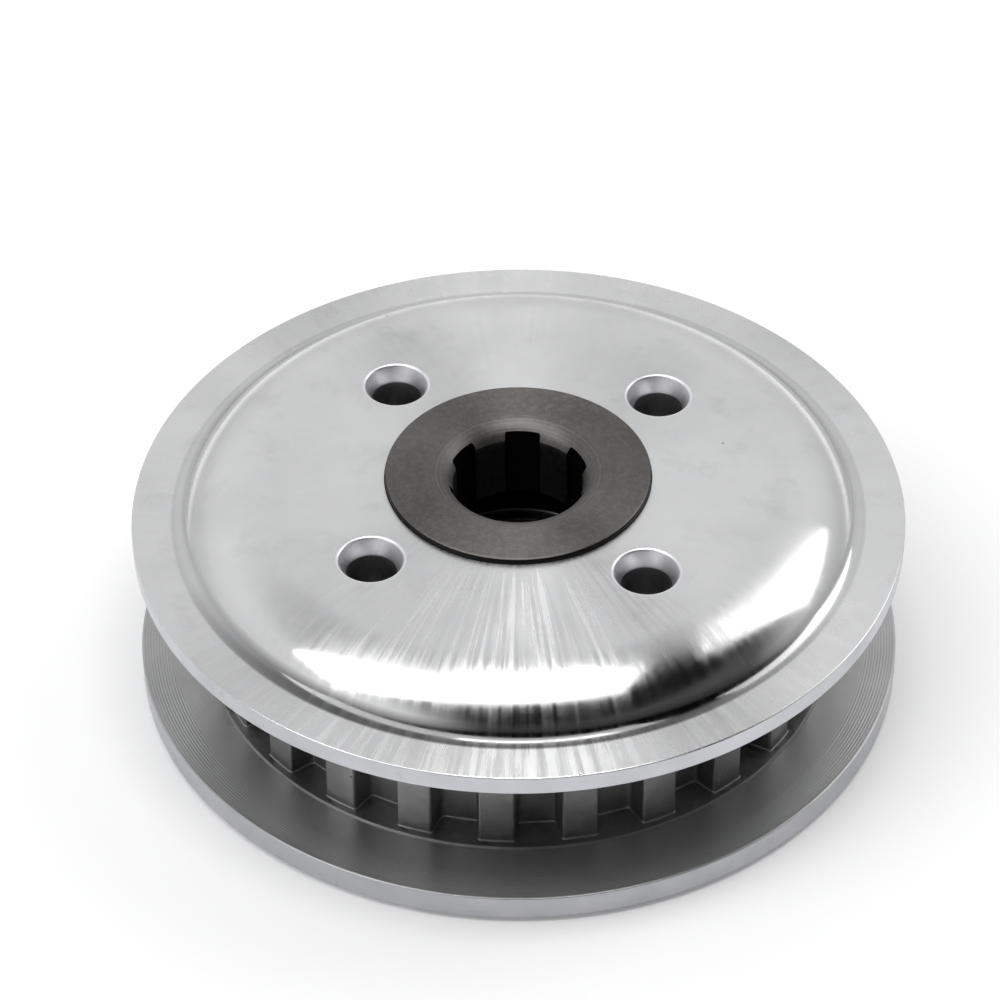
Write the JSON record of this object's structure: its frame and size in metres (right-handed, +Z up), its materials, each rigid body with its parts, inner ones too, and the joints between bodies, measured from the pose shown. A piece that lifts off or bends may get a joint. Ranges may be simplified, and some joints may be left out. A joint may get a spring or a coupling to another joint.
{
  "type": "motorcycle clutch hub and pressure wheel",
  "caption": "Two-flange motorcycle clutch centre: domed hub with splined steel boss, sprung to a toothed pressure wheel with a release bearing.",
  "frame": {"origin": "centre of the flat rim that the pressure wheel stands on, on the shaft axis", "axes": "+Z up the shaft axis, from the pressure wheel to the splined boss; the four posts lie at 45 degrees to X and Y, and one spline slot points to +Y"},
  "size_m": [0.102, 0.102, 0.0316],
  "materials": {
    "turned_aluminium": "die cast, dome, land and rim turned bright with fine radial sheen",
    "cast_aluminium": "as-cast drum and web, friction face turned",
    "boss_steel": "dark phosphated, finely grained",
    "spring_steel": "oil-tempered wire, satin",
    "zinc_steel": "bright zinc plate",
    "bearing_steel": "ground and polished",
    "pressed_steel": "pressed sheet, satin",
    "black_spring_steel": "black phosphated spring steel",
    "hardened_steel": "turned and case-hardened"
  },
  "bodies": {
    "wheel": {"pressure_wheel": "cast_aluminium", "toothed_drum": "cast_aluminium", "bearing_outer_ring": "bearing_steel", "bearing_circlip": "black_spring_steel", "spring_cup_1": "cast_aluminium", "spring_cup_2": "cast_aluminium", "spring_cup_3": "cast_aluminium", "spring_cup_4": "cast_aluminium", "clutch_spring_1": "spring_steel", "clutch_spring_2": "spring_steel", "clutch_spring_3": "spring_steel", "clutch_spring_4": "spring_steel"},
    "hub": {"hub_casting": "turned_aluminium", "splined_boss": "boss_steel", "spring_retainer_1": "zinc_steel", "spring_retainer_2": "zinc_steel", "spring_retainer_3": "zinc_steel", "spring_retainer_4": "zinc_steel", "spring_bolt_1": "zinc_steel", "spring_bolt_2": "zinc_steel", "spring_bolt_3": "zinc_steel", "spring_bolt_4": "zinc_steel"},
    "release": {"bearing_inner_ring": "bearing_steel", "push_piece": "hardened_steel"},
    "cage": {"bearing_cage": "pressed_steel", "bearing_balls": "bearing_steel"}
  },
  "joints": [
    {"name": "release_slide", "type": "slide", "parent": "wheel", "child": "hub", "axis": [0, 0, 1], "range_m": [0, 0.0025], "stiffness_N_per_m": 72000, "springref_m": -0.0005, "deforming": ["clutch_spring_1", "clutch_spring_2", "clutch_spring_3", "clutch_spring_4"]},
    {"name": "release_spin", "type": "hinge", "parent": "wheel", "child": "release", "pos_m": [0, 0, 0.0076], "axis": [0, 0, 1], "continuous": true},
    {"name": "cage_spin", "type": "hinge", "parent": "wheel", "child": "cage", "pos_m": [0, 0, 0.0076], "axis": [0, 0, 1], "continuous": true}
  ],
  "couplings": [
    {"joint": "cage_spin", "follows": "release_spin", "ratio": 0.36778}
  ]
}
